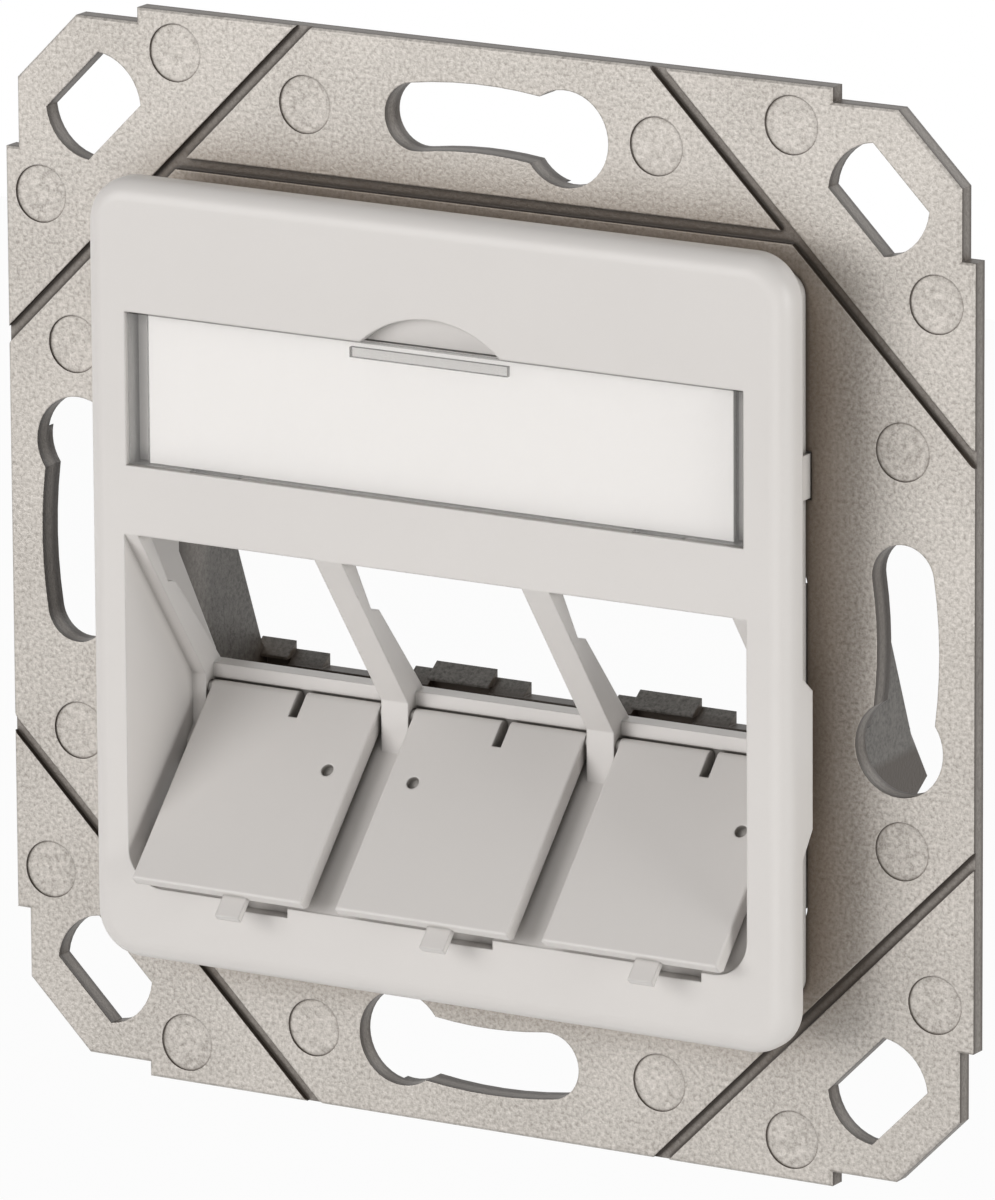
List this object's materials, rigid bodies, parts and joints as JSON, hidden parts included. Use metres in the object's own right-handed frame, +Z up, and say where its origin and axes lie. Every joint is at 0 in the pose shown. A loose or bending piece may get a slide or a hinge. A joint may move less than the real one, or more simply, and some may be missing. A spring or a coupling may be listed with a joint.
{
  "type": "flush ethernet socket outlet",
  "caption": "Square flush wall outlet for jack modules: die-cast support ring, plastic cover with label field, and bays with slanted dust flaps lying open.",
  "frame": {"origin": "centre of the circle of box screws, on the wall plane at the back of the support ring", "axes": "+X to the right, +Y into the wall, +Z up"},
  "size_m": [0.069, 0.022, 0.069],
  "materials": {
    "cast_metal": "raw die-cast, fine grain",
    "cover_plastic": "satin",
    "clear_plastic": "clear, polished",
    "card": "plain paper",
    "flap_plastic": "satin"
  },
  "bodies": {
    "socket": {"support_ring": "cast_metal", "cover_plate": "cover_plastic", "label_card": "card"},
    "label_window": {"label_window": "clear_plastic"},
    "dust_flap_left": {"dust_flap_left": "flap_plastic"},
    "dust_flap_middle": {"dust_flap_middle": "flap_plastic"},
    "dust_flap_right": {"dust_flap_right": "flap_plastic"}
  },
  "joints": [
    {"name": "label_tilt", "type": "hinge", "parent": "socket", "child": "label_window", "pos_m": [0, -0.00715, 0.00705], "axis": [1, 0, 0], "range_deg": [0, 35]},
    {"name": "flap_left_lift", "type": "hinge", "parent": "socket", "child": "dust_flap_left", "pos_m": [-0.0148, 0.00105, -0.0091], "axis": [-1, 0, 0], "range_deg": [0, 98]},
    {"name": "flap_middle_lift", "type": "hinge", "parent": "socket", "child": "dust_flap_middle", "pos_m": [0, 0.00105, -0.0091], "axis": [-1, 0, 0], "range_deg": [0, 98]},
    {"name": "flap_right_lift", "type": "hinge", "parent": "socket", "child": "dust_flap_right", "pos_m": [0.0148, 0.00105, -0.0091], "axis": [-1, 0, 0], "range_deg": [0, 98]}
  ]
}
